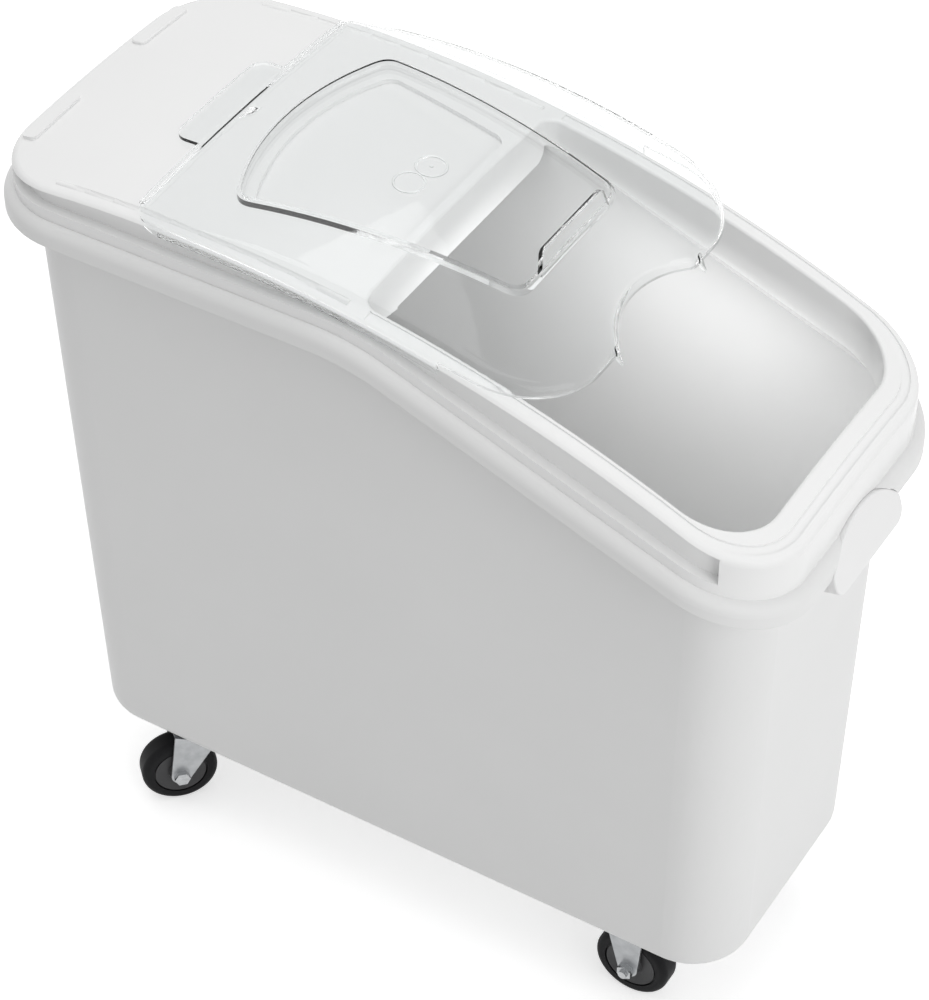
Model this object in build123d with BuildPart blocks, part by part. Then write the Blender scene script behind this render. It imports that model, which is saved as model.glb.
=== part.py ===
from build123d import *
import os
from math import asin, cos, degrees, radians, sin, sqrt, tan

os.makedirs("parts", exist_ok=True)

# A slim mobile ingredient bin with a sloping front and a clear lid that slides back over a fixed deck.
# Millimetres. +Z is up, the front faces -Y, and the origin is on the floor under the middle of the rim.

# Rim of the top frame, seen from above
rim_width = 317.4
rim_length = 714
rim_corner = 72

# Joint line between tub and top frame: level at the rear, falling to the front
joint_level = 686.6
joint_knee_y = 4
joint_slope = 20
joint_bend_radius = 190

# The lid slides along an arc about an axis parallel to X, below the floor of the bin
arc_y = 180
arc_z = -430
rail_radius = 1148

# Tub
tub_inset = 17
tub_wall = 4
tub_floor = 5
tub_corner = 54.7
side_draft = 1.05
front_draft = 1.08
rear_draft = 1.56
base_level = 96.4
base_fillet = 14

# Rolled bead round the top of the tub
bead_proud = 9
bead_height = 20.6
bead_round = 11.5
bead_wall = 3.2
bead_lip_round = 1.2

# Tongue on the tub's flange and the groove over it in the top frame
tongue_inset = 6
tongue_width = 3
tongue_height = 3.5
tongue_clearance = 0.3

# Top frame
mouth_inset = 18.7
mouth_front_inset = 29
mouth_corner = 56
mouth_rear_corner = 14
mouth_edge_round = 2.5
frame_wall = 4
shoulder_round = 7
groove_depth = 9.2
flange_height = 10
groove_front_y = 42 - rim_length / 2
valley_outer_inset = 7
valley_inner_inset = 14.8
valley_depth = 1.5
valley_rear_gap = 10

# Deck behind the mouth, crowned across its width
deck_front_y = 4
deck_skirt_height = 45
deck_skirt_clearance = 3
deck_skirt_corner = 12
crown_height = 9.5
crown_edge_height = 3.4
crown_edge_x = rim_width / 2 - 13.7
deck_panel_depth = 4
deck_panel_rear_y = 152
deck_panel_corner_y = 128
deck_panel_rear_half = 0.321 * rim_width
deck_panel_front_half = 0.277 * rim_width
deck_panel_front_gap = 8
deck_panel_corner = 12
bar_x = crown_edge_x
bar_width = 6
bar_height = 1.6
bar_root = 0.8
bar_front_y = 12
bar_rear_y = rim_length / 2 - 73
stop_inner_x = 0.135 * rim_width
stop_outer_x = 0.34 * rim_width
stop_depth = 14
stop_height = 3
stop_rear_gap = 8
stop_round = 1.2

# Sliding lid, drawn part way open
lid_wall = 3
lid_half_width = rim_width / 2 + 1.3
lid_front_y = -177
lid_rear_y = 206
lid_front_corner = rim_corner - 2
lid_rear_corner = 24
lid_crown_radius = 652
lid_crown_y = 79
lid_crown_top = 743.5
lid_crown_sag = 5.8
lid_shoulder = 11
lid_front_edge_z = 680
lid_notch_y = -75
lid_notch_edge_z = 697
hook_drop = 3.2
hook_height = 2.6
hook_rear_y = 179
hook_gap = 1.5
deck_clearance = 0.3
rail_clearance = 0.5
lip_width = 5
lip_height = 3
lip_half_length = rim_width / 2 - 15.5
lip_round = 1.4
bay_half_width = 0.186 * rim_width
bay_depth = 23
bay_corner = 13
gusset_x = bay_half_width + 7
gusset_length = 6
gusset_height = 10
gusset_drop = 5.5
lid_panel_depth = 5
lid_panel_rear_y = 163
lid_panel_corner_y = 136
lid_panel_rear_half = 0.34 * rim_width
lid_panel_front_half = 0.233 * rim_width
lid_panel_corner = 14
grip_y = -101
grip_half_base = 0.164 * rim_width
grip_half_top = grip_half_base - 6
grip_height = 19
grip_thickness = 4
grip_lean = 8
grip_corner = 6
tab_half_width = 0.192 * rim_width
tab_reach = 26
tab_corner = 12

# Plate on the front of the rim
plate_width = 115
plate_height = 51
plate_thickness = 8
plate_lean = 16
plate_drop = 16.7
plate_proud = 10
plate_corner = 13
plate_shoulder = 30
plate_gap = 0.3
plate_pad_depth = 32
plate_edge_round = 1.5
peg_radius = 3.5
peg_length = 8
peg_spread = 34
peg_clearance = 0.15

# Casters
caster_front_x = rim_width / 2 - 70.7
caster_front_y = 127 - rim_length / 2
caster_rear_x = rim_width / 2 - 66.2
caster_rear_y = rim_length / 2 - 125
caster_trail = 20
swivel_left = 46
swivel_right = 0
wheel_radius = 35.4
tread_width = 24
tread_round = 6
hub_radius = 25
hub_width = 23
hub_groove_width = 1.4
hub_groove_depth = 2.5
hub_dish = 1.5
hub_boss_radius = 10
wheel_side_gap = 0.5
bush_radius = 6
bush_clearance = 0.08
axle_radius = 4
axle_clearance = 0.2
fork_gap = 29
fork_steel = 2.5
leg_end_radius = 9.5
fixed_leg_half = 19.5
fixed_leg_shift = 5
swivel_leg_half = 23
caster_plate_width = 48
caster_plate_length = 80
caster_plate_corner = 8
bolt_head_flat = 13
bolt_head_height = 5.3
nut_height = 6.5
bolt_tail = 3
screw_x = 16
screw_y = 31
screw_radius = 3
screw_length = 12
screw_head_flat = 10
screw_head_height = 4
screw_clearance = 0.3
insert_radius = 4.5
insert_clearance = 0.05
thread_clearance = 0.1
insert_length = 10
pad_height = 8
pad_margin = 6

# Swivel head of the rear casters
ball_radius = 3
ball_count = 8
race_radius = 17
race_clearance = 0.15
race_ring_width = 8
race_ring_height = 1.6
crown_radius = 24
kingpin_radius = 5
kingpin_head_radius = 9
kingpin_head_height = 3
kingpin_clearance = 0.1
kingpin_upset_radius = 7
kingpin_upset_height = 1.2

# How far the blocks that only trim the bin run past it
reach = rim_length
arc_span = 80
arc_overrun = 4
edge_tolerance = 1

slide_axis = Axis((0, arc_y, arc_z), (1, 0, 0))
lid_crown_z = lid_crown_top - lid_crown_radius
lid_crown_axis = Axis((0, lid_crown_y, lid_crown_z), (1, 0, 0))


def arc_height(radius, y):
    """Height of an arc about the lid's axis at a given Y."""
    return arc_z + sqrt(radius**2 - (y - arc_y) ** 2)


def arc_angle(radius, y):
    """Angle about the lid's axis from the vertical, positive towards the rear."""
    return degrees(asin((y - arc_y) / radius))


def arc_distance(point):
    """Distance of a point from the lid's axis."""
    return sqrt((point.Y - arc_y) ** 2 + (point.Z - arc_z) ** 2)


def arc_plane(angle):
    """Plane through the lid's axis: local x is X, local y runs out along the radius."""
    tilt = radians(angle)
    return Plane(origin=(0, arc_y, arc_z), x_dir=(1, 0, 0), z_dir=(0, -cos(tilt), sin(tilt)))


def joint_wire(shift):
    """The joint line, moved up by shift."""
    front_drop = tan(radians(joint_slope)) * (reach + joint_knee_y)
    return FilletPolyline(
        (reach, joint_level + shift),
        (joint_knee_y, joint_level + shift),
        (-reach, joint_level + shift - front_drop),
        radius=joint_bend_radius,
    )


def joint_height(y):
    """Height of the joint line at a given Y, leaving out the small radius of its bend."""
    return joint_level - tan(radians(joint_slope)) * max(0, joint_knee_y - y)


def rim_block(inset, low, high, upper_round=0, lower_round=0):
    """The rim's outline, inset, between two copies of the joint line, with rounded outer edges."""
    middle = (low + high) / 2
    end = rim_length / 2 - inset - edge_tolerance
    with BuildPart() as block:
        with BuildSketch(Plane.XY):
            RectangleRounded(rim_width - 2 * inset, rim_length - 2 * inset, rim_corner - inset)
        extrude(amount=joint_level + high + reach)
        with BuildSketch(Plane.YZ):
            with BuildLine():
                lower = joint_wire(low)
                upper = joint_wire(high)
                Line(lower @ 0, upper @ 0)
                Line(lower @ 1, upper @ 1)
            make_face()
        extrude(amount=rim_width, both=True, mode=Mode.INTERSECT)
        for upper, radius in ((True, upper_round), (False, lower_round)):
            if radius:
                outline = block.edges().filter_by(
                    lambda edge: (edge.center().Z - joint_height(edge.center().Y) > middle) == upper
                    and abs(edge.tangent_at(0.5).Z) < sin(radians(45))
                    and (abs(edge.center().X) > edge_tolerance or abs(edge.center().Y) > end)
                )
                fillet(outline, radius)
    return block.part


def below_joint(shift=0):
    """Everything under the joint line moved up by shift."""
    with BuildPart() as block:
        with BuildSketch(Plane.YZ):
            with BuildLine():
                edge = joint_wire(shift)
                Polyline(edge @ 0, (reach, 0), (-reach, 0), edge @ 1)
            make_face()
        extrude(amount=rim_width, both=True)
    return block.part


def tub_section(height, inset):
    """Plane and size of the tapering tub at one height: plane, width, length and corner radius."""
    drop = joint_level - height
    half_width = rim_width / 2 - tub_inset - tan(radians(side_draft)) * drop - inset
    front = -rim_length / 2 + tub_inset + tan(radians(front_draft)) * drop + inset
    rear = rim_length / 2 - tub_inset - tan(radians(rear_draft)) * drop - inset
    centre = Plane(origin=(0, (front + rear) / 2, height))
    return centre, 2 * half_width, rear - front, tub_corner - inset


def tub_loft(low, high, inset, round_bottom):
    """Tapering block with the tub's outline, inset, and a rounded bottom edge."""
    with BuildPart() as block:
        for height in (low, high):
            plane, width, length, corner = tub_section(height, inset)
            with BuildSketch(plane):
                RectangleRounded(width, length, corner)
        loft()
        bottom = block.faces().sort_by(Axis.Z)[0]
        fillet(bottom.edges(), round_bottom)
    return block.part


def crown_radius_of(edge_x, edge_sag):
    """Radius of the circular crown that drops by edge_sag at edge_x."""
    return (edge_x**2 + edge_sag**2) / (2 * edge_sag)


def arc_sag(edge_x, edge_sag, half_width):
    """Drop at half_width of the circular crown that drops by edge_sag at edge_x."""
    radius = crown_radius_of(edge_x, edge_sag)
    return radius - sqrt(radius**2 - half_width**2)


def crowned_arc(lift, half_width):
    """Block below the crowned arc that the deck follows, raised by lift, across a given width."""
    sag = arc_sag(crown_edge_x, crown_height - crown_edge_height, half_width)
    top = rail_radius + crown_height + lift
    start = arc_angle(top, rim_length / 2) + arc_overrun
    sweep_angle = start - arc_angle(top, -rim_length / 2) + arc_overrun
    with BuildPart() as block:
        with BuildSketch(arc_plane(start)):
            with BuildLine():
                ThreePointArc((-half_width, top - sag), (0, top), (half_width, top - sag))
                Polyline(
                    (half_width, top - sag),
                    (half_width, rail_radius - arc_span),
                    (-half_width, rail_radius - arc_span),
                    (-half_width, top - sag),
                )
            make_face()
        revolve(axis=slide_axis, revolution_arc=sweep_angle)
    return block.part


def arc_slab(radius):
    """Block below a plain arc about the lid's axis."""
    start = arc_angle(radius, rim_length / 2) + arc_overrun
    sweep_angle = start - arc_angle(radius, -rim_length / 2) + arc_overrun
    with BuildPart() as block:
        with BuildSketch(arc_plane(start)):
            with Locations((0, radius - arc_span / 2)):
                Rectangle(2 * rim_width, arc_span)
        revolve(axis=slide_axis, revolution_arc=sweep_angle)
    return block.part


def arc_bar(x_near, x_far, radius_low, radius_high, front_y, rear_y):
    """Pair of bars of rectangular section, left and right, that follow the lid's arc."""
    start = arc_angle(rail_radius, rear_y)
    with BuildPart() as bars:
        with BuildSketch(arc_plane(start)):
            with Locations(
                ((x_near + x_far) / 2, (radius_low + radius_high) / 2),
                (-(x_near + x_far) / 2, (radius_low + radius_high) / 2),
            ):
                Rectangle(x_far - x_near, radius_high - radius_low)
        revolve(axis=slide_axis, revolution_arc=start - arc_angle(rail_radius, front_y))
    return bars.part


def panel_block(rear_y, corner_y, rear_half, front_half, front_y, corner, grow):
    """Upright block with the D-shaped outline of a panel: bowed at the rear, tapering to the front."""
    with BuildPart() as block:
        with BuildSketch(Plane.XY.offset(base_level)) as outline:
            with BuildLine():
                ThreePointArc((-rear_half, corner_y), (0, rear_y), (rear_half, corner_y))
                Polyline(
                    (rear_half, corner_y),
                    (front_half, front_y),
                    (-front_half, front_y),
                    (-rear_half, corner_y),
                )
            make_face()
            fillet(outline.vertices(), corner)
            if grow:
                offset(amount=grow)
        extrude(amount=lid_crown_top)
    return block.part


def lid_crown(drop):
    """Block below the lid's domed top, lowered by drop."""
    half_width = lid_half_width + lid_wall
    radius = lid_crown_radius - drop
    sag = arc_sag(crown_edge_x, lid_crown_sag, half_width)
    low = radius - arc_span
    start = Plane(origin=(0, lid_crown_y, lid_crown_z), x_dir=(1, 0, 0), z_dir=(0, 0, 1))
    with BuildPart() as block:
        with BuildSketch(start):
            with BuildLine():
                ThreePointArc((-half_width, radius - sag), (0, radius), (half_width, radius - sag))
                Polyline(
                    (half_width, radius - sag),
                    (half_width, low),
                    (-half_width, low),
                    (-half_width, radius - sag),
                )
            make_face()
        revolve(axis=lid_crown_axis, revolution_arc=180)
    return block.part


def lid_block(inset):
    """The lid's outer form, or with an inset the hollow under it, left open at the rear."""
    bay_radius = (bay_half_width**2 + bay_depth**2) / (2 * bay_depth)
    front = lid_front_y + inset
    rear = lid_rear_y + inset
    with BuildPart() as block:
        with BuildSketch(Plane.XY.offset(base_level)) as outline:
            with Locations((0, (front + rear) / 2)):
                Rectangle(2 * (lid_half_width - inset), rear - front)
            fillet(outline.vertices().group_by(Axis.Y)[0], lid_front_corner - inset)
            with Locations((0, lid_front_y + bay_depth - bay_radius)):
                Circle(bay_radius + inset, mode=Mode.SUBTRACT)
            ends = outline.vertices().filter_by(
                lambda corner: abs(corner.Y - front) < edge_tolerance
                and abs(corner.X) < bay_half_width + lid_wall
            )
            fillet(ends, bay_corner - inset)
        extrude(amount=lid_crown_top)
        add(lid_crown(inset), mode=Mode.INTERSECT)
        top = block.faces().sort_by(Axis.Z)[-1]
        shoulder = top.edges().filter_by(lambda edge: edge.center().Y < rear - edge_tolerance)
        fillet(shoulder, lid_shoulder - inset)
    return block.part


def plate_plane(depth):
    """Plane of the front plate's face, set back by depth: local y runs up the plate."""
    lean = radians(plate_lean)
    outward = Vector(0, -cos(lean), sin(lean))
    middle = Vector(0, -rim_length / 2 - plate_proud, joint_height(-rim_length / 2) - plate_drop)
    return Plane(origin=middle - outward * depth, x_dir=(1, 0, 0), z_dir=outward)


def plate_block(depth, thickness, grow):
    """Block with the plate's outline: straight bottom edge, rounded corners, arched top."""
    half = plate_width / 2
    bottom = -plate_height / 2
    side_top = plate_height / 2 - plate_shoulder
    with BuildPart() as block:
        with BuildSketch(plate_plane(depth)) as outline:
            with BuildLine():
                Polyline((-half, side_top), (-half, bottom), (half, bottom), (half, side_top))
                ThreePointArc((half, side_top), (0, plate_height / 2), (-half, side_top))
            make_face()
            fillet(outline.vertices(), plate_corner)
            if grow:
                offset(amount=grow)
        extrude(amount=thickness)
    return block.part


# Shared blocks
outer_tub = tub_loft(base_level, joint_level + tub_wall, 0, base_fillet)
tub_hollow = tub_loft(base_level + tub_floor, joint_level + 2 * tub_wall, tub_wall, base_fillet - tub_wall)
lower_region = below_joint()
bead_block = rim_block(-bead_proud, -bead_height, 0, bead_round, bead_lip_round)
bead_inside = rim_block(bead_wall - bead_proud, -bead_height - bead_wall, -bead_wall, bead_round - bead_wall)
tongue_outer = rim_block(tongue_inset, -bead_wall / 2, tongue_height)
tongue_inner = rim_block(tongue_inset + tongue_width, -bead_wall, tongue_height + bead_wall)
plate_seat = plate_block(plate_thickness + plate_gap, plate_proud + tub_inset, plate_gap)
plate_pad = plate_block(plate_thickness + plate_gap + plate_pad_depth, plate_pad_depth, -plate_gap)
peg_centres = [(-peg_spread, 0), (peg_spread, 0)]

caster_stations = {
    "front_left": (-caster_front_x, caster_front_y),
    "front_right": (caster_front_x, caster_front_y),
    "rear_left": (-caster_rear_x, caster_rear_y),
    "rear_right": (caster_rear_x, caster_rear_y),
}

# Tub: one thin moulding with a rolled bead, a tongue for the top frame and pads for the casters
with BuildPart() as bead_channel:
    add(bead_inside)
    add(outer_tub, mode=Mode.SUBTRACT)

with BuildPart() as tongue:
    add(tongue_outer)
    add(tongue_inner, mode=Mode.SUBTRACT)

with BuildPart() as tub:
    add(outer_tub)
    add(bead_block)
    add(bead_channel.part, mode=Mode.SUBTRACT)
    add(plate_pad)
    add(lower_region, mode=Mode.INTERSECT)
    add(tongue.part)
    add(plate_seat, mode=Mode.SUBTRACT)
    add(tub_hollow, mode=Mode.SUBTRACT)
    for x, y in caster_stations.values():
        with BuildSketch(Plane(origin=(x, y, base_level))):
            RectangleRounded(
                caster_plate_width + pad_margin, caster_plate_length + pad_margin, caster_plate_corner
            )
        extrude(amount=tub_floor + pad_height)
        with BuildSketch(Plane(origin=(x, y, base_level))):
            with GridLocations(2 * screw_x, 2 * screw_y, 2, 2):
                Circle(insert_radius + insert_clearance)
        extrude(amount=insert_length, mode=Mode.SUBTRACT)
    with BuildSketch(plate_plane(plate_thickness + plate_gap)):
        with Locations(*peg_centres):
            Circle(peg_radius + peg_clearance)
    extrude(amount=-peg_length, mode=Mode.SUBTRACT)

tub.part.label = "tub"
export_step(tub.part, "parts/tub.step")

# Top frame: collar and deck in one moulding, with a groove along each side for the lid's hooks
mouth_half = rim_width / 2 - mouth_inset
mouth_front_y = -rim_length / 2 + mouth_front_inset
groove_floor_x = rim_width / 2 - groove_depth
deck_panel_size = (
    deck_panel_rear_y,
    deck_panel_corner_y,
    deck_panel_rear_half,
    deck_panel_front_half,
    deck_front_y + deck_panel_front_gap,
    deck_panel_corner,
)

with BuildPart() as deck_panel_recess:
    add(panel_block(*deck_panel_size, 0))
    add(crowned_arc(-deck_panel_depth, rim_width), mode=Mode.SUBTRACT)

with BuildPart() as deck_underside:
    with BuildSketch(Plane.XY.offset(base_level)):
        RectangleRounded(rim_width - 2 * mouth_inset, rim_length - 2 * mouth_inset, rim_corner - mouth_inset)
        with Locations((0, deck_front_y + frame_wall - reach / 2)):
            Rectangle(rim_width, reach, mode=Mode.SUBTRACT)
    extrude(amount=lid_crown_top)
    add(crowned_arc(-frame_wall, rim_width), mode=Mode.INTERSECT)

with BuildPart() as deck_panel_floor:
    add(panel_block(*deck_panel_size, frame_wall))
    add(crowned_arc(-deck_panel_depth - frame_wall, rim_width), mode=Mode.SUBTRACT)

with BuildPart() as mouth:
    with BuildSketch(Plane.XY.offset(base_level)) as mouth_outline:
        with Locations((0, (mouth_front_y + deck_front_y) / 2)):
            Rectangle(2 * mouth_half, deck_front_y - mouth_front_y)
        fillet(mouth_outline.vertices().group_by(Axis.Y)[0], mouth_corner)
        fillet(mouth_outline.vertices().group_by(Axis.Y)[-1], mouth_rear_corner)
    extrude(amount=lid_crown_top)

with BuildPart() as rail_groove:
    with BuildSketch(Plane.XY.offset(base_level)):
        RectangleRounded(rim_width + 2 * bead_proud, rim_length + 2 * bead_proud, rim_corner + bead_proud)
        RectangleRounded(
            rim_width - 2 * groove_depth,
            rim_length - 2 * groove_depth,
            rim_corner - groove_depth,
            mode=Mode.SUBTRACT,
        )
        with Locations((0, groove_front_y - reach / 2)):
            Rectangle(2 * rim_width, reach, mode=Mode.SUBTRACT)
    extrude(amount=lid_crown_top)
    add(arc_slab(rail_radius), mode=Mode.INTERSECT)
    add(below_joint(flange_height), mode=Mode.SUBTRACT)

with BuildPart() as rail_valley:
    with BuildSketch(Plane.XY.offset(base_level)):
        RectangleRounded(
            rim_width - 2 * valley_outer_inset,
            rim_length - 2 * valley_outer_inset,
            rim_corner - valley_outer_inset,
        )
        RectangleRounded(
            rim_width - 2 * valley_inner_inset,
            rim_length - 2 * valley_inner_inset,
            rim_corner - valley_inner_inset,
            mode=Mode.SUBTRACT,
        )
        with Locations((0, deck_front_y - valley_rear_gap + reach / 2)):
            Rectangle(rim_width, reach, mode=Mode.SUBTRACT)
    extrude(amount=lid_crown_top)
    add(crowned_arc(-valley_depth, rim_width), mode=Mode.SUBTRACT)

with BuildPart() as lid_stops:
    stop_y = rim_length / 2 - stop_rear_gap - stop_depth / 2
    with BuildSketch(Plane.XY.offset(base_level)):
        with GridLocations(stop_inner_x + stop_outer_x, 0, 2, 1):
            with Locations((0, stop_y)):
                RectangleRounded(stop_outer_x - stop_inner_x, stop_depth, stop_depth / 3)
    extrude(amount=lid_crown_top)
    add(crowned_arc(stop_height, rim_width), mode=Mode.INTERSECT)
    add(crowned_arc(-frame_wall / 2, rim_width), mode=Mode.SUBTRACT)
    for pad in lid_stops.faces().group_by(Axis.Z)[-1]:
        fillet(pad.edges(), stop_round)

with BuildPart() as runner_bars:
    bar_start = arc_angle(rail_radius, bar_rear_y)
    bar_level = rail_radius + crown_edge_height
    with BuildSketch(arc_plane(bar_start)):
        with BuildLine():
            near_foot = (bar_x - bar_width / 2, bar_level - bar_root)
            far_foot = (bar_x + bar_width / 2, bar_level - bar_root)
            ThreePointArc(near_foot, (bar_x, bar_level + bar_height), far_foot)
            Line(far_foot, near_foot)
        make_face()
        mirror(about=Plane.YZ)
    revolve(axis=slide_axis, revolution_arc=bar_start - arc_angle(rail_radius, bar_front_y))

with BuildPart() as deck_skirt:
    deck_front_z = arc_height(rail_radius + crown_height, deck_front_y)
    with BuildSketch(Plane.XZ.offset(-deck_front_y)) as skirt_outline:
        with Locations((0, deck_front_z)):
            Rectangle(
                rim_width - 2 * (tub_inset + tub_wall + deck_skirt_clearance), 2 * deck_skirt_height
            )
        fillet(skirt_outline.vertices().group_by(Axis.Y)[0], deck_skirt_corner)
    extrude(amount=-frame_wall)
    add(crowned_arc(-(frame_wall + mouth_edge_round) / 2, rim_width), mode=Mode.INTERSECT)

with BuildPart() as tongue_groove:
    add(rim_block(tongue_inset - tongue_clearance, -bead_wall, tongue_height + tongue_clearance))
    add(
        rim_block(tongue_inset + tongue_width + tongue_clearance, -2 * bead_wall, tongue_height + bead_wall),
        mode=Mode.SUBTRACT,
    )

with BuildPart() as top_frame:
    with BuildSketch(Plane.XY.offset(base_level)):
        RectangleRounded(rim_width, rim_length, rim_corner)
    extrude(amount=lid_crown_top)
    add(crowned_arc(0, rim_width), mode=Mode.INTERSECT)
    fillet(top_frame.faces().sort_by(Axis.Z)[-1].edges(), shoulder_round)
    add(mouth.part, mode=Mode.SUBTRACT)
    mouth_edges = top_frame.edges(Select.LAST)
    fillet(mouth_edges.filter_by(lambda edge: arc_distance(edge.center()) > rail_radius), mouth_edge_round)
    add(rail_valley.part, mode=Mode.SUBTRACT)
    add(lower_region, mode=Mode.SUBTRACT)
    add(rail_groove.part, mode=Mode.SUBTRACT)
    add(deck_underside.part, mode=Mode.SUBTRACT)
    add(deck_panel_floor.part.intersect(deck_underside.part))
    add(deck_panel_recess.part, mode=Mode.SUBTRACT)
    add(runner_bars.part)
    add(lid_stops.part)
    add(deck_skirt.part)
    add(tongue_groove.part, mode=Mode.SUBTRACT)
    add(plate_seat, mode=Mode.SUBTRACT)

top_frame.part.label = "top_frame"
export_step(top_frame.part, "parts/top_frame.step")

# Front plate: a plain D-shaped plate on two pegs, leaning back over the bead
with BuildPart() as front_plate:
    add(plate_block(plate_thickness, plate_thickness, 0))
    outer_face = front_plate.faces().sort_by(Axis((0, 0, 0), plate_plane(0).z_dir))[-1]
    fillet(outer_face.edges(), plate_edge_round)
    with BuildSketch(plate_plane(plate_thickness)):
        with Locations(*peg_centres):
            Circle(peg_radius)
    extrude(amount=plate_gap - peg_length)

front_plate.part.label = "front_plate"
export_step(front_plate.part, "parts/front_plate.step")

# Sliding lid: a thin clear dome with hooks along its sides, a hand bay, a sunk panel, a grip and a tab
lid_panel_size = (
    lid_panel_rear_y,
    lid_panel_corner_y,
    lid_panel_rear_half,
    lid_panel_front_half,
    grip_y + grip_thickness,
    lid_panel_corner,
)
lid_underside = bar_height + deck_clearance
deck_crown_radius = crown_radius_of(crown_edge_x, crown_height - crown_edge_height)
shoulder_x = rim_width / 2 - shoulder_round
shoulder_reach = sqrt((deck_crown_radius - shoulder_round) ** 2 - shoulder_x**2)
shoulder_rise = crown_height - deck_crown_radius + shoulder_reach
ridge_x = shoulder_x + sqrt(shoulder_round**2 - min(shoulder_rise, 0) ** 2)
skirt_inner_x = ridge_x + rail_clearance
hook_low = rail_radius - hook_drop

with BuildPart() as lid_panel_recess:
    add(panel_block(*lid_panel_size, 0))
    add(lid_crown(lid_panel_depth), mode=Mode.SUBTRACT)

with BuildPart() as lid_panel_floor:
    add(panel_block(*lid_panel_size, lid_wall))
    add(lid_crown(lid_panel_depth + lid_wall), mode=Mode.SUBTRACT)

with BuildPart() as lid_inside:
    add(lid_block(lid_wall))
    add(lid_panel_floor.part, mode=Mode.SUBTRACT)

with BuildPart() as below_lid_edge:
    with BuildSketch(Plane.YZ):
        with BuildLine():
            edge_slope = (lid_notch_edge_z - lid_front_edge_z) / (lid_notch_y - lid_front_y)
            far_front = (lid_front_y - reach, lid_front_edge_z - edge_slope * reach)
            notch_low = (lid_notch_y, arc_height(hook_low, lid_notch_y))
            hook_middle = (lid_notch_y + hook_rear_y) / 2
            hook_end = (hook_rear_y, arc_height(hook_low, hook_rear_y))
            deck_level = arc_height(rail_radius + crown_edge_height + lid_underside, lid_rear_y)
            Polyline(far_front, (lid_notch_y, lid_notch_edge_z), notch_low)
            ThreePointArc(notch_low, (hook_middle, arc_height(hook_low, hook_middle)), hook_end)
            Polyline(
                hook_end,
                (lid_rear_y, deck_level),
                (reach, deck_level),
                (reach, 0),
                (far_front[0], 0),
                far_front,
            )
        make_face()
    extrude(amount=rim_width, both=True)

with BuildPart() as lid_rear_trim:
    with BuildSketch(Plane.XY.offset(base_level)) as trim_outline:
        with Locations((0, lid_rear_y - reach / 2)):
            Rectangle(2 * lid_half_width, reach)
        fillet(trim_outline.vertices().group_by(Axis.Y)[-1], lid_rear_corner)
    extrude(amount=lid_crown_top)

with BuildPart() as lid_tab:
    with BuildSketch(Plane.XY.offset(base_level)) as tab_outline:
        with Locations((0, lid_rear_y + (tab_reach - lid_wall) / 2)):
            Rectangle(2 * tab_half_width, tab_reach + lid_wall)
        fillet(tab_outline.vertices().group_by(Axis.Y)[-1], tab_corner)
    extrude(amount=lid_crown_top)
    add(crowned_arc(lid_underside + lid_wall, rim_width), mode=Mode.INTERSECT)
    add(crowned_arc(lid_underside, rim_width), mode=Mode.SUBTRACT)

with BuildPart() as lid_lip:
    with BuildSketch(Plane.XY.offset(base_level)):
        with Locations((0, lid_rear_y - lip_width / 2)):
            Rectangle(2 * lip_half_length, lip_width)
    extrude(amount=lid_crown_top)
    add(lid_crown(-lip_height), mode=Mode.INTERSECT)
    add(lid_crown(lid_wall / 2), mode=Mode.SUBTRACT)
    fillet(lid_lip.faces().sort_by(Axis.Z)[-1].edges(), lip_round)

grip_seat_z = lid_crown_z + sqrt(lid_crown_radius**2 - (grip_y - lid_crown_y) ** 2) - lid_wall / 2
grip_rise = grip_height + lid_wall / 2
grip_tilt = radians(grip_lean)
grip_plane = Plane(
    origin=(0, grip_y, grip_seat_z), x_dir=(1, 0, 0), z_dir=(0, -cos(grip_tilt), sin(grip_tilt))
)

with BuildPart() as sliding_lid:
    add(lid_block(0))
    add(lid_panel_recess.part, mode=Mode.SUBTRACT)
    add(lid_inside.part, mode=Mode.SUBTRACT)
    add(below_lid_edge.part, mode=Mode.SUBTRACT)
    add(lid_rear_trim.part, mode=Mode.INTERSECT)
    add(crowned_arc(lid_underside, skirt_inner_x), mode=Mode.SUBTRACT)
    add(
        arc_bar(
            groove_floor_x + hook_gap,
            lid_half_width - lid_wall / 2,
            hook_low,
            hook_low + hook_height,
            lid_notch_y,
            hook_rear_y,
        )
    )
    add(lid_tab.part)
    add(lid_lip.part)
    with BuildSketch(grip_plane) as grip_outline:
        with BuildLine():
            Polyline(
                (-grip_half_base, 0),
                (grip_half_base, 0),
                (grip_half_top, grip_rise),
                (-grip_half_top, grip_rise),
                close=True,
            )
        make_face()
        fillet(grip_outline.vertices().group_by(Axis.Y)[-1], grip_corner)
    extrude(amount=grip_thickness / 2, both=True)
    for side in (-1, 1):
        with BuildSketch(Plane.YZ.offset(side * gusset_x)):
            with BuildLine():
                Polyline(
                    (lid_front_y + lid_wall / 2, lid_front_edge_z),
                    (lid_front_y + lid_wall / 2, lid_front_edge_z + gusset_height),
                    (lid_front_y, lid_front_edge_z + gusset_height),
                    (lid_front_y - gusset_length, lid_front_edge_z - gusset_drop),
                    close=True,
                )
            make_face()
        extrude(amount=lid_wall / 2, both=True)

sliding_lid.part.label = "sliding_lid"
export_step(sliding_lid.part, "parts/sliding_lid.step")

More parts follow.
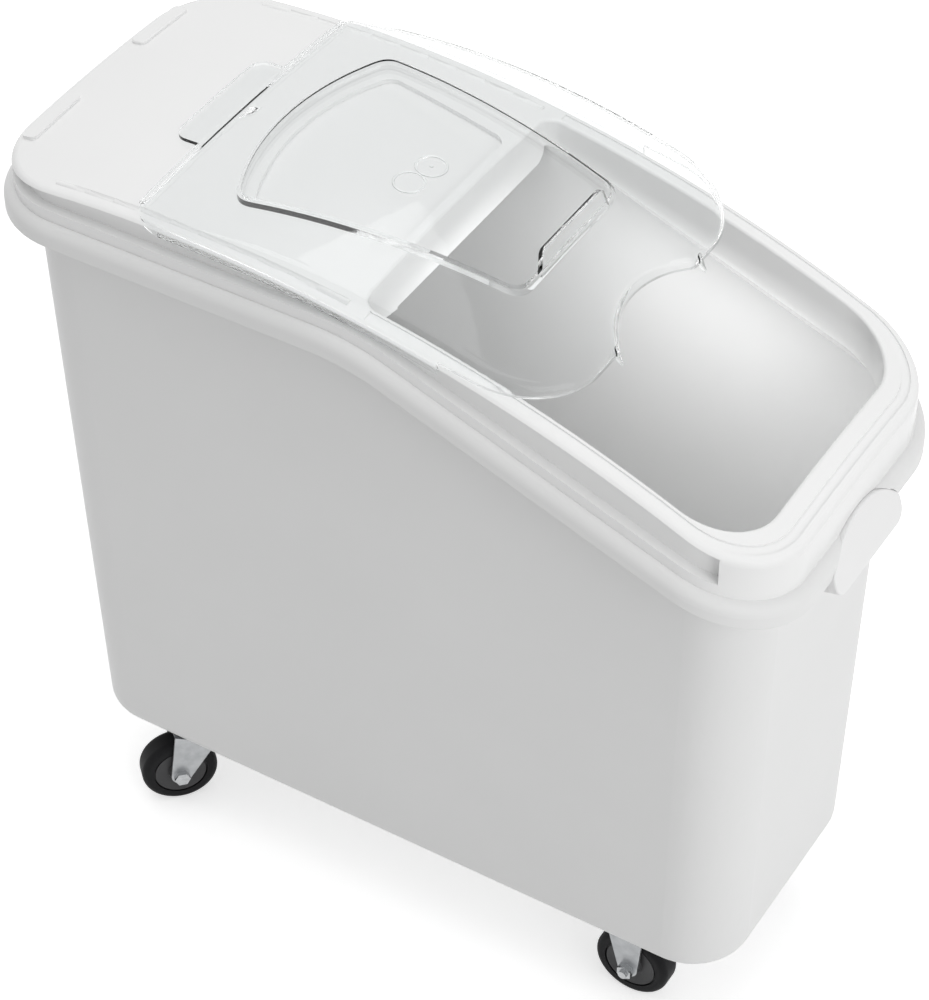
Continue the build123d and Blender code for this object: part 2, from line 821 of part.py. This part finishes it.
# Casters: each has a frame with local x along the axle, local y towards the trailing side
plate_bottom = base_level - fork_steel
ball_level = plate_bottom - race_ring_height - race_clearance - ball_radius
crown_top = ball_level - ball_radius - race_clearance
crown_bottom = crown_top - fork_steel
casters = {
    "front_left": (-caster_front_x, caster_front_y, 0, 0, 1),
    "front_right": (caster_front_x, caster_front_y, 0, 0, -1),
    "rear_left": (-caster_rear_x, caster_rear_y, swivel_left, caster_trail, -1),
    "rear_right": (caster_rear_x, caster_rear_y, swivel_right, caster_trail, 1),
}


def leg_sketch_plane(frame, side):
    """Plane of the inner face of one fork leg: local x towards the trailing side, local y up."""
    origin = frame.from_local_coords((side * fork_gap / 2, 0, 0))
    return Plane(origin=origin, x_dir=frame.y_dir, z_dir=frame.x_dir)


def screw_positions(x, y, level):
    """The four screw centres of one caster, as planes facing down."""
    return [
        Plane(origin=(x + side * screw_x, y + end * screw_y, level), z_dir=(0, 0, -1))
        for side in (-1, 1)
        for end in (-1, 1)
    ]


for name, (x, y, swivel, trail, head_side) in casters.items():
    turn = radians(swivel)
    frame = Plane(origin=(x, y, 0), x_dir=(cos(turn), sin(turn), 0), z_dir=(0, 0, 1))
    centre = frame.from_local_coords((0, trail, wheel_radius))
    axle = Axis(centre, frame.x_dir)
    section = Plane(origin=centre, x_dir=frame.x_dir, z_dir=frame.y_dir * -1)
    fixed = trail == 0
    leg_top = plate_bottom if fixed else crown_top
    leg_half = fixed_leg_half if fixed else swivel_leg_half
    leg_shift = fixed_leg_shift if fixed else 0

    # Top plate, which carries the fork legs on a fixed caster and the kingpin on a swivelling one
    with BuildPart() as caster_plate:
        with BuildSketch(Plane(origin=(x, y, base_level))):
            RectangleRounded(caster_plate_width, caster_plate_length, caster_plate_corner)
        extrude(amount=-fork_steel)
        with Locations(*screw_positions(x, y, base_level)):
            Hole(screw_radius + screw_clearance)
        if not fixed:
            with BuildSketch(Plane(origin=(x, y, plate_bottom))):
                Circle(race_radius + race_ring_width / 2)
                Circle(race_radius - race_ring_width / 2, mode=Mode.SUBTRACT)
            extrude(amount=-race_ring_height)
            with Locations(Plane(origin=(x, y, base_level))):
                CounterBoreHole(kingpin_radius, kingpin_upset_radius, kingpin_upset_height)

    # Fork: two legs round the wheel, on the plate itself or on a crown that turns under it
    with BuildPart() as fork:
        if fixed:
            add(caster_plate.part)
        else:
            with BuildSketch(Plane(origin=(x, y, crown_bottom), x_dir=frame.x_dir)):
                Circle(crown_radius)
                Rectangle(fork_gap + 2 * fork_steel, 2 * leg_half)
                make_hull()
            extrude(amount=fork_steel)
        for side in (-1, 1):
            with BuildSketch(leg_sketch_plane(frame, side)):
                with Locations((trail, wheel_radius)):
                    Circle(leg_end_radius)
                with Locations((leg_shift, leg_top - fork_steel / 2)):
                    Rectangle(2 * leg_half, fork_steel)
                make_hull()
            extrude(amount=side * fork_steel)
        with Locations(Plane(origin=centre, z_dir=frame.x_dir)):
            Hole(axle_radius + axle_clearance)
        if not fixed:
            with Locations(Plane(origin=(x, y, crown_top))):
                Hole(kingpin_radius + kingpin_clearance)

    if fixed:
        fork.part.label = f"{name}_bracket"
        export_step(fork.part, f"parts/{name}_bracket.step")
    else:
        caster_plate.part.label = f"{name}_top_plate"
        export_step(caster_plate.part, f"parts/{name}_top_plate.step")
        fork.part.label = f"{name}_fork"
        export_step(fork.part, f"parts/{name}_fork.step")

        with BuildPart() as kingpin:
            with BuildSketch(Plane(origin=(x, y, base_level))):
                Circle(kingpin_upset_radius)
            extrude(amount=-kingpin_upset_height)
            with BuildSketch(Plane(origin=(x, y, base_level))):
                Circle(kingpin_radius)
            extrude(amount=crown_bottom - kingpin_clearance - base_level)
            with BuildSketch(Plane(origin=(x, y, crown_bottom - kingpin_clearance))):
                Circle(kingpin_head_radius)
            extrude(amount=-kingpin_head_height)
            head_edge = kingpin.edges().filter_by(GeomType.CIRCLE).sort_by(Axis.Z)[0]
            fillet(head_edge, kingpin_head_height / 2)
        kingpin.part.label = f"{name}_kingpin"
        export_step(kingpin.part, f"parts/{name}_kingpin.step")

        with BuildPart() as balls:
            with Locations(Plane(origin=(x, y, ball_level))):
                with PolarLocations(race_radius, ball_count):
                    Sphere(ball_radius)
        balls.part.label = f"{name}_race_balls"
        export_step(balls.part, f"parts/{name}_race_balls.step")

    # Wheel: a rubber tyre on a plastic hub that turns on a steel bush
    with BuildPart() as tyre:
        with BuildSketch(section) as tread:
            with Locations((0, (hub_radius + wheel_radius) / 2)):
                Rectangle(tread_width, wheel_radius - hub_radius)
            fillet(tread.vertices().group_by(Axis.Y)[-1], tread_round)
        revolve(axis=axle)
    tyre.part.label = f"{name}_tyre"
    export_step(tyre.part, f"parts/{name}_tyre.step")

    boss_half = fork_gap / 2 - wheel_side_gap
    bore = bush_radius + bush_clearance
    with BuildPart() as hub:
        with BuildSketch(section):
            with BuildLine():
                Polyline(
                    (boss_half, bore),
                    (boss_half, hub_boss_radius),
                    (hub_width / 2 - hub_dish, hub_boss_radius + hub_dish),
                    (hub_width / 2, hub_radius - hub_groove_width),
                    (hub_width / 2 - hub_groove_depth, hub_radius - hub_groove_width),
                    (hub_width / 2 - hub_groove_depth, hub_radius),
                    (0, hub_radius),
                    (0, bore),
                    close=True,
                )
            make_face()
            mirror(about=Plane.YZ)
        revolve(axis=axle)
    hub.part.label = f"{name}_hub"
    export_step(hub.part, f"parts/{name}_hub.step")

    with BuildPart() as bush:
        with BuildSketch(Plane(origin=centre, z_dir=frame.x_dir)):
            Circle(bush_radius)
            Circle(axle_radius + axle_clearance, mode=Mode.SUBTRACT)
        extrude(amount=fork_gap / 2, both=True)
    bush.part.label = f"{name}_bush"
    export_step(bush.part, f"parts/{name}_bush.step")

    # Axle bolt, with its head on one side of the fork and its nut on the other
    leg_face = fork_gap / 2 + fork_steel
    head_plane = Plane(origin=centre + frame.x_dir * head_side * leg_face, z_dir=frame.x_dir * head_side)
    nut_plane = Plane(origin=centre - frame.x_dir * head_side * leg_face, z_dir=frame.x_dir * -head_side)
    with BuildPart() as axle_bolt:
        with BuildSketch(head_plane):
            RegularPolygon(bolt_head_flat / 2, 6, major_radius=False)
        extrude(amount=bolt_head_height)
        with BuildSketch(head_plane):
            Circle(axle_radius)
        extrude(amount=-(2 * leg_face + nut_height + bolt_tail))
    axle_bolt.part.label = f"{name}_axle_bolt"
    export_step(axle_bolt.part, f"parts/{name}_axle_bolt.step")

    with BuildPart() as axle_nut:
        with BuildSketch(nut_plane):
            RegularPolygon(bolt_head_flat / 2, 6, major_radius=False)
            Circle(axle_radius + thread_clearance, mode=Mode.SUBTRACT)
        extrude(amount=nut_height)
    axle_nut.part.label = f"{name}_axle_nut"
    export_step(axle_nut.part, f"parts/{name}_axle_nut.step")

# Caster screws and the threaded inserts that they turn into, front and rear
for end in ("front", "rear"):
    stations = [casters[name][:2] for name in casters if name.startswith(end)]
    with BuildPart() as screws:
        for x, y in stations:
            for place in screw_positions(x, y, plate_bottom):
                with BuildSketch(place):
                    RegularPolygon(screw_head_flat / 2, 6, major_radius=False)
                extrude(amount=screw_head_height)
                with BuildSketch(place):
                    Circle(screw_radius)
                extrude(amount=-screw_length)
    screws.part.label = f"{end}_caster_screws"
    export_step(screws.part, f"parts/{end}_caster_screws.step")

    with BuildPart() as inserts:
        for x, y in stations:
            for place in screw_positions(x, y, base_level):
                with BuildSketch(place):
                    Circle(insert_radius)
                    Circle(screw_radius + thread_clearance, mode=Mode.SUBTRACT)
                extrude(amount=-insert_length)
    inserts.part.label = f"{end}_caster_inserts"
    export_step(inserts.part, f"parts/{end}_caster_inserts.step")
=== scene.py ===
from math import cos, pi, radians, sin

import bmesh
import bpy
from mathutils import Matrix, Vector


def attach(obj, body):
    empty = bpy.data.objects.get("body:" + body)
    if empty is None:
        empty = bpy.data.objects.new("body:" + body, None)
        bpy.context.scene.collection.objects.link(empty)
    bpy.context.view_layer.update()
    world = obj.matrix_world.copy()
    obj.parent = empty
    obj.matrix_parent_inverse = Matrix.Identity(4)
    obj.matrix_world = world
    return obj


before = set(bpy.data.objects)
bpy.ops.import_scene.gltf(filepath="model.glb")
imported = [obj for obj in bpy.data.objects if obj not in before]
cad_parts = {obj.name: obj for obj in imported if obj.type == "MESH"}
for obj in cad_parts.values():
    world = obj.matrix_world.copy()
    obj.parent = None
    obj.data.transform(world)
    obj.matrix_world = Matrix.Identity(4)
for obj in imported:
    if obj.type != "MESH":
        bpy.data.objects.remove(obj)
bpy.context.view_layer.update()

# Tub: one tall, slim moulding of white polyethylene with a rolled bead round its rim, made in one shot. Its
# skin is satin, and very faintly uneven where the plastic shrank as it cooled.


class Value:
    """An output of one of a finish's nodes. Python's operators on it add the Math nodes they need."""

    def __init__(self, finish, socket):
        self.finish = finish
        self.socket = socket

    def maths(self, operation, *values):
        return self.finish.add("ShaderNodeMath", {"operation": operation}, *values)

    def __add__(self, other):
        return self.maths("ADD", self, other)

    __radd__ = __add__

    def __sub__(self, other):
        return self.maths("SUBTRACT", self, other)

    def __rsub__(self, other):
        return self.maths("SUBTRACT", other, self)

    def __mul__(self, other):
        return self.maths("MULTIPLY", self, other)

    __rmul__ = __mul__

    def clamped(self):
        return self.maths("MINIMUM", self.maths("MAXIMUM", self, 0.0), 1.0)


class Finish:
    """The nodes of a material or of the world."""

    def __init__(self, owner):
        owner.use_nodes = True
        self.owner = owner
        self.tree = owner.node_tree
        self.tree.nodes.clear()

    def add(self, kind, settings=None, *values, output=0, **named):
        """Adds a node: its settings first, then its sockets' values or links, by order or by name."""
        node = self.tree.nodes.new(kind)
        for key, value in (settings or {}).items():
            setattr(node, key, value)
        sockets = list(zip(node.inputs, values))
        sockets += [(node.inputs[key.replace("_", " ")], value) for key, value in named.items()]
        for socket, value in sockets:
            if isinstance(value, Value):
                self.tree.links.new(value.socket, socket)
            else:
                socket.default_value = value
        return Value(self, node.outputs[output] if node.outputs else None)

    def noise(self, scale, detail=2.0, roughness=0.5, stretch=(1, 1, 1)):
        on_object = self.add("ShaderNodeTexCoord", output="Object")
        stretched = self.add("ShaderNodeMapping", {}, on_object, Scale=stretch)
        return self.add(
            "ShaderNodeTexNoise", {}, Vector=stretched, Scale=scale, Detail=detail, Roughness=roughness
        )

    def tone(self, low, high, amount):
        """A colour between two others, by amount, through the Mix node's sockets for colours."""
        low_socket, high_socket, colour_result = 6, 7, 2
        mixed = self.add("ShaderNodeMix", {"data_type": "RGBA"}, output=colour_result, Factor=amount)
        inputs = mixed.socket.node.inputs
        inputs[low_socket].default_value = (*low, 1)
        inputs[high_socket].default_value = (*high, 1)
        return mixed

    def bump(self, height, depth):
        return self.add("ShaderNodeBump", {}, Strength=1.0, Distance=depth, Height=height)

    def surface(self, shader):
        """Ends the nodes with a shader, as what this finish shows."""
        kind = "World" if isinstance(self.owner, bpy.types.World) else "Material"
        self.add(f"ShaderNodeOutput{kind}", {}, shader)

    def wear(self, *names):
        """Puts this finish on CAD nodes."""
        for name in names:
            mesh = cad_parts[name].data
            mesh.materials.clear()
            mesh.materials.append(self.owner)


def moulded_white(name, dark, light, roughness):
    """Satin white polyethylene: slow drifts of tone, and the fine skin that a polished mould leaves."""
    white = Finish(bpy.data.materials.new(name))
    drift = white.noise(7.0, detail=3.0)
    grain = white.noise(900.0, detail=1.0)
    sheen = white.noise(30.0, detail=4.0, roughness=0.6)
    middle_of_sheen = 0.5
    white.surface(
        white.add(
            "ShaderNodeBsdfPrincipled",
            {},
            Base_Color=white.tone(dark, light, drift),
            Roughness=roughness + 0.08 * (sheen - middle_of_sheen),
            Normal=white.bump(0.6 * grain + 0.4 * sheen, depth=0.00004),
            IOR=1.5,
            Specular_IOR_Level=0.35,
        )
    )
    return white


tub_white = moulded_white(
    "tub_white", dark=(0.79, 0.792, 0.79), light=(0.83, 0.832, 0.83), roughness=0.4
)
tub_white.wear("tub")

# Top frame: the collar and the fixed rear deck, a second white moulding pushed down over the tub's flange.
# It comes from a polished mould, so it is whiter and glossier than the tub's walls.
frame_white = moulded_white(
    "frame_white", dark=(0.86, 0.862, 0.86), light=(0.89, 0.892, 0.89), roughness=0.22
)
frame_white.wear("top_frame")

# Front plate: a plain D-shaped plate of the same white plastic, moulded by itself and pressed on two pegs
# into the bead at the front. It is a little duller than the top frame.
plate_white = moulded_white(
    "plate_white", dark=(0.85, 0.85, 0.85), light=(0.88, 0.88, 0.88), roughness=0.34
)
plate_white.wear("front_plate")

# Sliding lid: one thin moulding of clear polycarbonate, so its walls show what is behind them and its cut
# edges, folds and grip go dark where light turns inside them. Its hooks run in the grooves of the top frame.


def ray_mask(finish, *kinds):
    """1 for rays of these kinds, and 0 for all others."""
    return sum(finish.add("ShaderNodeLightPath", output=f"Is {kind} Ray") for kind in kinds).clamped()


lid_clear = Finish(bpy.data.materials.new("lid_clear"))
ripple = lid_clear.noise(16.0)
haze = lid_clear.noise(5.0)
clear_wall = lid_clear.add(
    "ShaderNodeBsdfPrincipled",
    {},
    Base_Color=lid_clear.tone((0.95, 0.96, 0.96), (0.98, 0.985, 0.985), haze),
    Roughness=0.012 + 0.02 * haze,
    Normal=lid_clear.bump(ripple, depth=0.0003),
    IOR=1.22,
    Coat_Weight=0.7,
    Coat_Roughness=0.03,
    Transmission_Weight=1.0,
)
# Light from the lamps, and light that the bin spreads, goes straight through the wall and loses a little.
light_let_through = lid_clear.add("ShaderNodeBsdfTransparent", {}, (0.96, 0.965, 0.965, 1))
lid_clear.surface(
    lid_clear.add(
        "ShaderNodeMixShader", {}, ray_mask(lid_clear, "Shadow", "Diffuse"), clear_wall, light_let_through
    )
)
lid_clear.wear("sliding_lid")

# Gate marks: two faint raised rings on the lid's sunk panel, of the lid's own plastic, where the ejector and
# the hot runner of the mould met it. The one on the middle line has the stub of the gate in it.
ejector_mark = (-0.0245, 0.033)
gate_mark = (0.002, 0.029)
ring_radius = 0.0125
ring_thickness_radius = 0.0011
stub_radius = 0.0017
flattening = 0.2
above_lid = 1.0

gate_marks = bmesh.new()
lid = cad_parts["sliding_lid"]
for mark_x, mark_y in (ejector_mark, gate_mark):
    seat, outward = lid.ray_cast((mark_x, mark_y, above_lid), (0, 0, -1))[1:3]
    placed = set(gate_marks.verts)
    section = bmesh.ops.create_circle(
        gate_marks,
        segments=8,
        radius=ring_thickness_radius,
        matrix=Matrix.Translation((ring_radius, 0, 0)) @ Matrix.Rotation(radians(90), 4, "X"),
    )["verts"]
    section_edges = list(dict.fromkeys(edge for vert in section for edge in vert.link_edges))
    bmesh.ops.spin(
        gate_marks,
        geom=section + section_edges,
        axis=(0, 0, 1),
        cent=(0, 0, 0),
        angle=2 * pi,
        steps=48,
        use_merge=True,
    )
    if (mark_x, mark_y) == gate_mark:
        bmesh.ops.create_uvsphere(gate_marks, u_segments=16, v_segments=8, radius=stub_radius)
    raised = [vert for vert in gate_marks.verts if vert not in placed]
    bmesh.ops.scale(gate_marks, vec=(1, 1, flattening), verts=raised)
    turn = outward.to_track_quat("Z", "Y").to_matrix().to_4x4()
    bmesh.ops.transform(gate_marks, matrix=Matrix.Translation(seat) @ turn, verts=raised)
bmesh.ops.recalc_face_normals(gate_marks, faces=gate_marks.faces)

marks_data = bpy.data.meshes.new("lid_gate_marks")
gate_marks.to_mesh(marks_data)
gate_marks.free()
marks_data.materials.append(lid_clear.owner)
marks_data.shade_smooth()
marks = bpy.data.objects.new("lid_gate_marks", marks_data)
bpy.context.collection.objects.link(marks)
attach(marks, "lid")

# Caster brackets, forks, top plates, races and screws: pressed and turned steel with bright zinc plating,
# screwed to the tub's floor. The plating is pale and mottled, with fine lines along the rolled strip.
zinc = Finish(bpy.data.materials.new("zinc_plate"))
mottle = zinc.noise(120.0, detail=4.0)
strip = zinc.noise(60.0, stretch=(1, 1, 18))
zinc.surface(
    zinc.add(
        "ShaderNodeBsdfPrincipled",
        {},
        Base_Color=zinc.tone((0.3, 0.31, 0.32), (0.56, 0.57, 0.58), mottle),
        Metallic=1.0,
        Roughness=0.3 + 0.2 * mottle,
        Normal=zinc.bump(strip, depth=0.00006),
    )
)
zinc.wear("front_left_bracket", "front_right_bracket", "front_caster_screws", "rear_caster_screws")
for side in ("left", "right"):
    zinc.wear(
        f"rear_{side}_top_plate", f"rear_{side}_fork", f"rear_{side}_kingpin", f"rear_{side}_race_balls"
    )

# Threaded inserts: turned brass with fine tool lines. They are moulded into the pads on the tub's floor, and
# the caster screws go into them.
brass = Finish(bpy.data.materials.new("insert_brass"))
turning = brass.noise(400.0, stretch=(1, 1, 6))
brass.surface(
    brass.add(
        "ShaderNodeBsdfPrincipled",
        {},
        Base_Color=brass.tone((0.56, 0.4, 0.16), (0.72, 0.54, 0.26), turning),
        Metallic=1.0,
        Roughness=0.3 + 0.1 * turning,
    )
)
brass.wear("front_caster_inserts", "rear_caster_inserts")

# Tyres: black rubber rings pressed on the hubs. They are matt, with a faint bloom where the rubber's wax
# comes to the surface, and the fine grain of their mould.
casters = ("front_left", "front_right", "rear_left", "rear_right")
rubber = Finish(bpy.data.materials.new("tyre_rubber"))
bloom = rubber.noise(40.0, detail=4.0, roughness=0.6)
rubber_grain = rubber.noise(1200.0, detail=1.0)
rubber.surface(
    rubber.add(
        "ShaderNodeBsdfPrincipled",
        {},
        Base_Color=rubber.tone((0.005, 0.005, 0.006), (0.014, 0.014, 0.015), bloom),
        Roughness=0.46 + 0.14 * bloom,
        Normal=rubber.bump(rubber_grain, depth=0.00006),
        Specular_IOR_Level=0.12,
    )
)
rubber.wear(*(f"{caster}_tyre" for caster in casters))

# Hubs: dark grey nylon, moulded in one piece with a satin face. Each turns on a steel bush, which the axle
# bolt clamps in the fork.
hub_nylon = Finish(bpy.data.materials.new("hub_nylon"))
cloud = hub_nylon.noise(60.0, detail=3.0)
hub_nylon.surface(
    hub_nylon.add(
        "ShaderNodeBsdfPrincipled",
        {},
        Base_Color=hub_nylon.tone((0.036, 0.036, 0.038), (0.06, 0.06, 0.062), cloud),
        Roughness=0.42 + 0.1 * cloud,
        Specular_IOR_Level=0.3,
    )
)
hub_nylon.wear(*(f"{caster}_hub" for caster in casters))

# Axles: zinc-plated hexagon bolts through the fork and the hub's bush, each with a nut on its other end.
# They are turned and forged, so they are brighter than the rolled strip and have no lines.
axle_zinc = Finish(bpy.data.materials.new("axle_zinc"))
axle_mottle = axle_zinc.noise(300.0, detail=3.0)
axle_zinc.surface(
    axle_zinc.add(
        "ShaderNodeBsdfPrincipled",
        {},
        Base_Color=axle_zinc.tone((0.36, 0.37, 0.38), (0.6, 0.61, 0.62), axle_mottle),
        Metallic=1.0,
        Roughness=0.18 + 0.14 * axle_mottle,
    )
)
for caster in casters:
    axle_zinc.wear(f"{caster}_bush", f"{caster}_axle_bolt", f"{caster}_axle_nut")

# Floor: a plain, pale, matt studio floor. It keeps the bin's shadow, and glows for the camera and in mirrored
# and clear pieces, so that it meets the white background.
scene = bpy.context.scene
floor_reach = 8
floor_glow = 0.55
pure_white = (1, 1, 1, 1)

floor_data = bpy.data.meshes.new("studio_floor")
sheet = bmesh.new()
bmesh.ops.create_grid(sheet, x_segments=1, y_segments=1, size=floor_reach)
sheet.to_mesh(floor_data)
sheet.free()
floor = bpy.data.objects.new("studio_floor", floor_data)
scene.collection.objects.link(floor)

pale = Finish(bpy.data.materials.new("floor_pale"))
matt = pale.add("ShaderNodeBsdfDiffuse", {}, (0.8, 0.8, 0.8, 1))
glow = pale.add("ShaderNodeEmission", {}, pure_white, floor_glow)
lit = pale.add("ShaderNodeAddShader", {}, matt, glow)
pale.surface(
    pale.add("ShaderNodeMixShader", {}, ray_mask(pale, "Camera", "Glossy", "Transmission"), matt, lit)
)
floor_data.materials.append(pale.owner)

# Room: white where the camera, a mirrored ray or a ray through the lid meets it, and softer as a light, so
# that pale surfaces keep their tone.
soft_light = 0.48
full_light = 1.0

room = Finish(bpy.data.worlds.new("studio"))
scene.world = room.owner
soft_room = room.add("ShaderNodeBackground", {}, pure_white, soft_light)
white_room = room.add("ShaderNodeBackground", {}, pure_white, full_light)
seen = ray_mask(room, "Camera", "Glossy", "Transmission")
room.surface(room.add("ShaderNodeMixShader", {}, seen, soft_room, white_room))


# Lamps: two large soft ones, in front and overhead, and a small one in the mouth. The small one gives the
# inside the light that a real tub, which is a little translucent, takes in through its walls.
def lamp(name, place, aim, width, height, watts):
    """A soft rectangular lamp that faces a point. It doesn't show as a bright patch on glossy pieces."""
    light = bpy.data.lights.new(name, "AREA")
    light.shape = "RECTANGLE"
    light.size = width
    light.size_y = height
    light.energy = watts
    holder = bpy.data.objects.new(name, light)
    scene.collection.objects.link(holder)
    holder.visible_glossy = False
    turn = (Vector(aim) - Vector(place)).to_track_quat("-Z", "Y").to_matrix().to_4x4()
    holder.matrix_world = Matrix.Translation(place) @ turn


lamp("front_lamp", place=(-0.9, -3.1, 1.4), aim=(0, 0, 0.4), width=3.0, height=3.0, watts=41)
lamp("top_lamp", place=(0.2, 0.4, 3.4), aim=(0, 0, 0.5), width=3.0, height=3.0, watts=42)
lamp("mouth_lamp", place=(0, -0.17, 0.645), aim=(0, 0.02, 0), width=0.13, height=0.24, watts=0.36)

# Camera: the photograph's viewpoint, solved from the bin's outlines in it. It looks past a point on the bin's
# middle line, with the small shifts across and up that the solution gave.
photo_width = 929
focal_length_pixels = 3319.326
sensor_width = 36
azimuth, elevation, roll = radians(-58.517), radians(42.429), radians(-0.229)
middle = Vector((0, 0, 0.4))
distance = 2.8079
shift_across, shift_up = 0.0010063, -0.0010456

backward = Vector((sin(azimuth) * cos(elevation), -cos(azimuth) * cos(elevation), sin(elevation)))
level = Vector((cos(azimuth), sin(azimuth), 0))
upright = backward.cross(level)
across = level * cos(roll) + upright * sin(roll)
up = upright * cos(roll) - level * sin(roll)
eye = middle + backward * distance + across * shift_across + up * shift_up

camera = bpy.data.cameras.new("camera")
camera.sensor_fit = "HORIZONTAL"
camera.sensor_width = sensor_width
camera.lens = focal_length_pixels / photo_width * sensor_width
viewer = bpy.data.objects.new("camera", camera)
scene.collection.objects.link(viewer)
viewer.matrix_world = Matrix.Translation(eye) @ Matrix((across, up, backward)).transposed().to_4x4()
scene.camera = viewer
scene.view_settings.view_transform = "Standard"
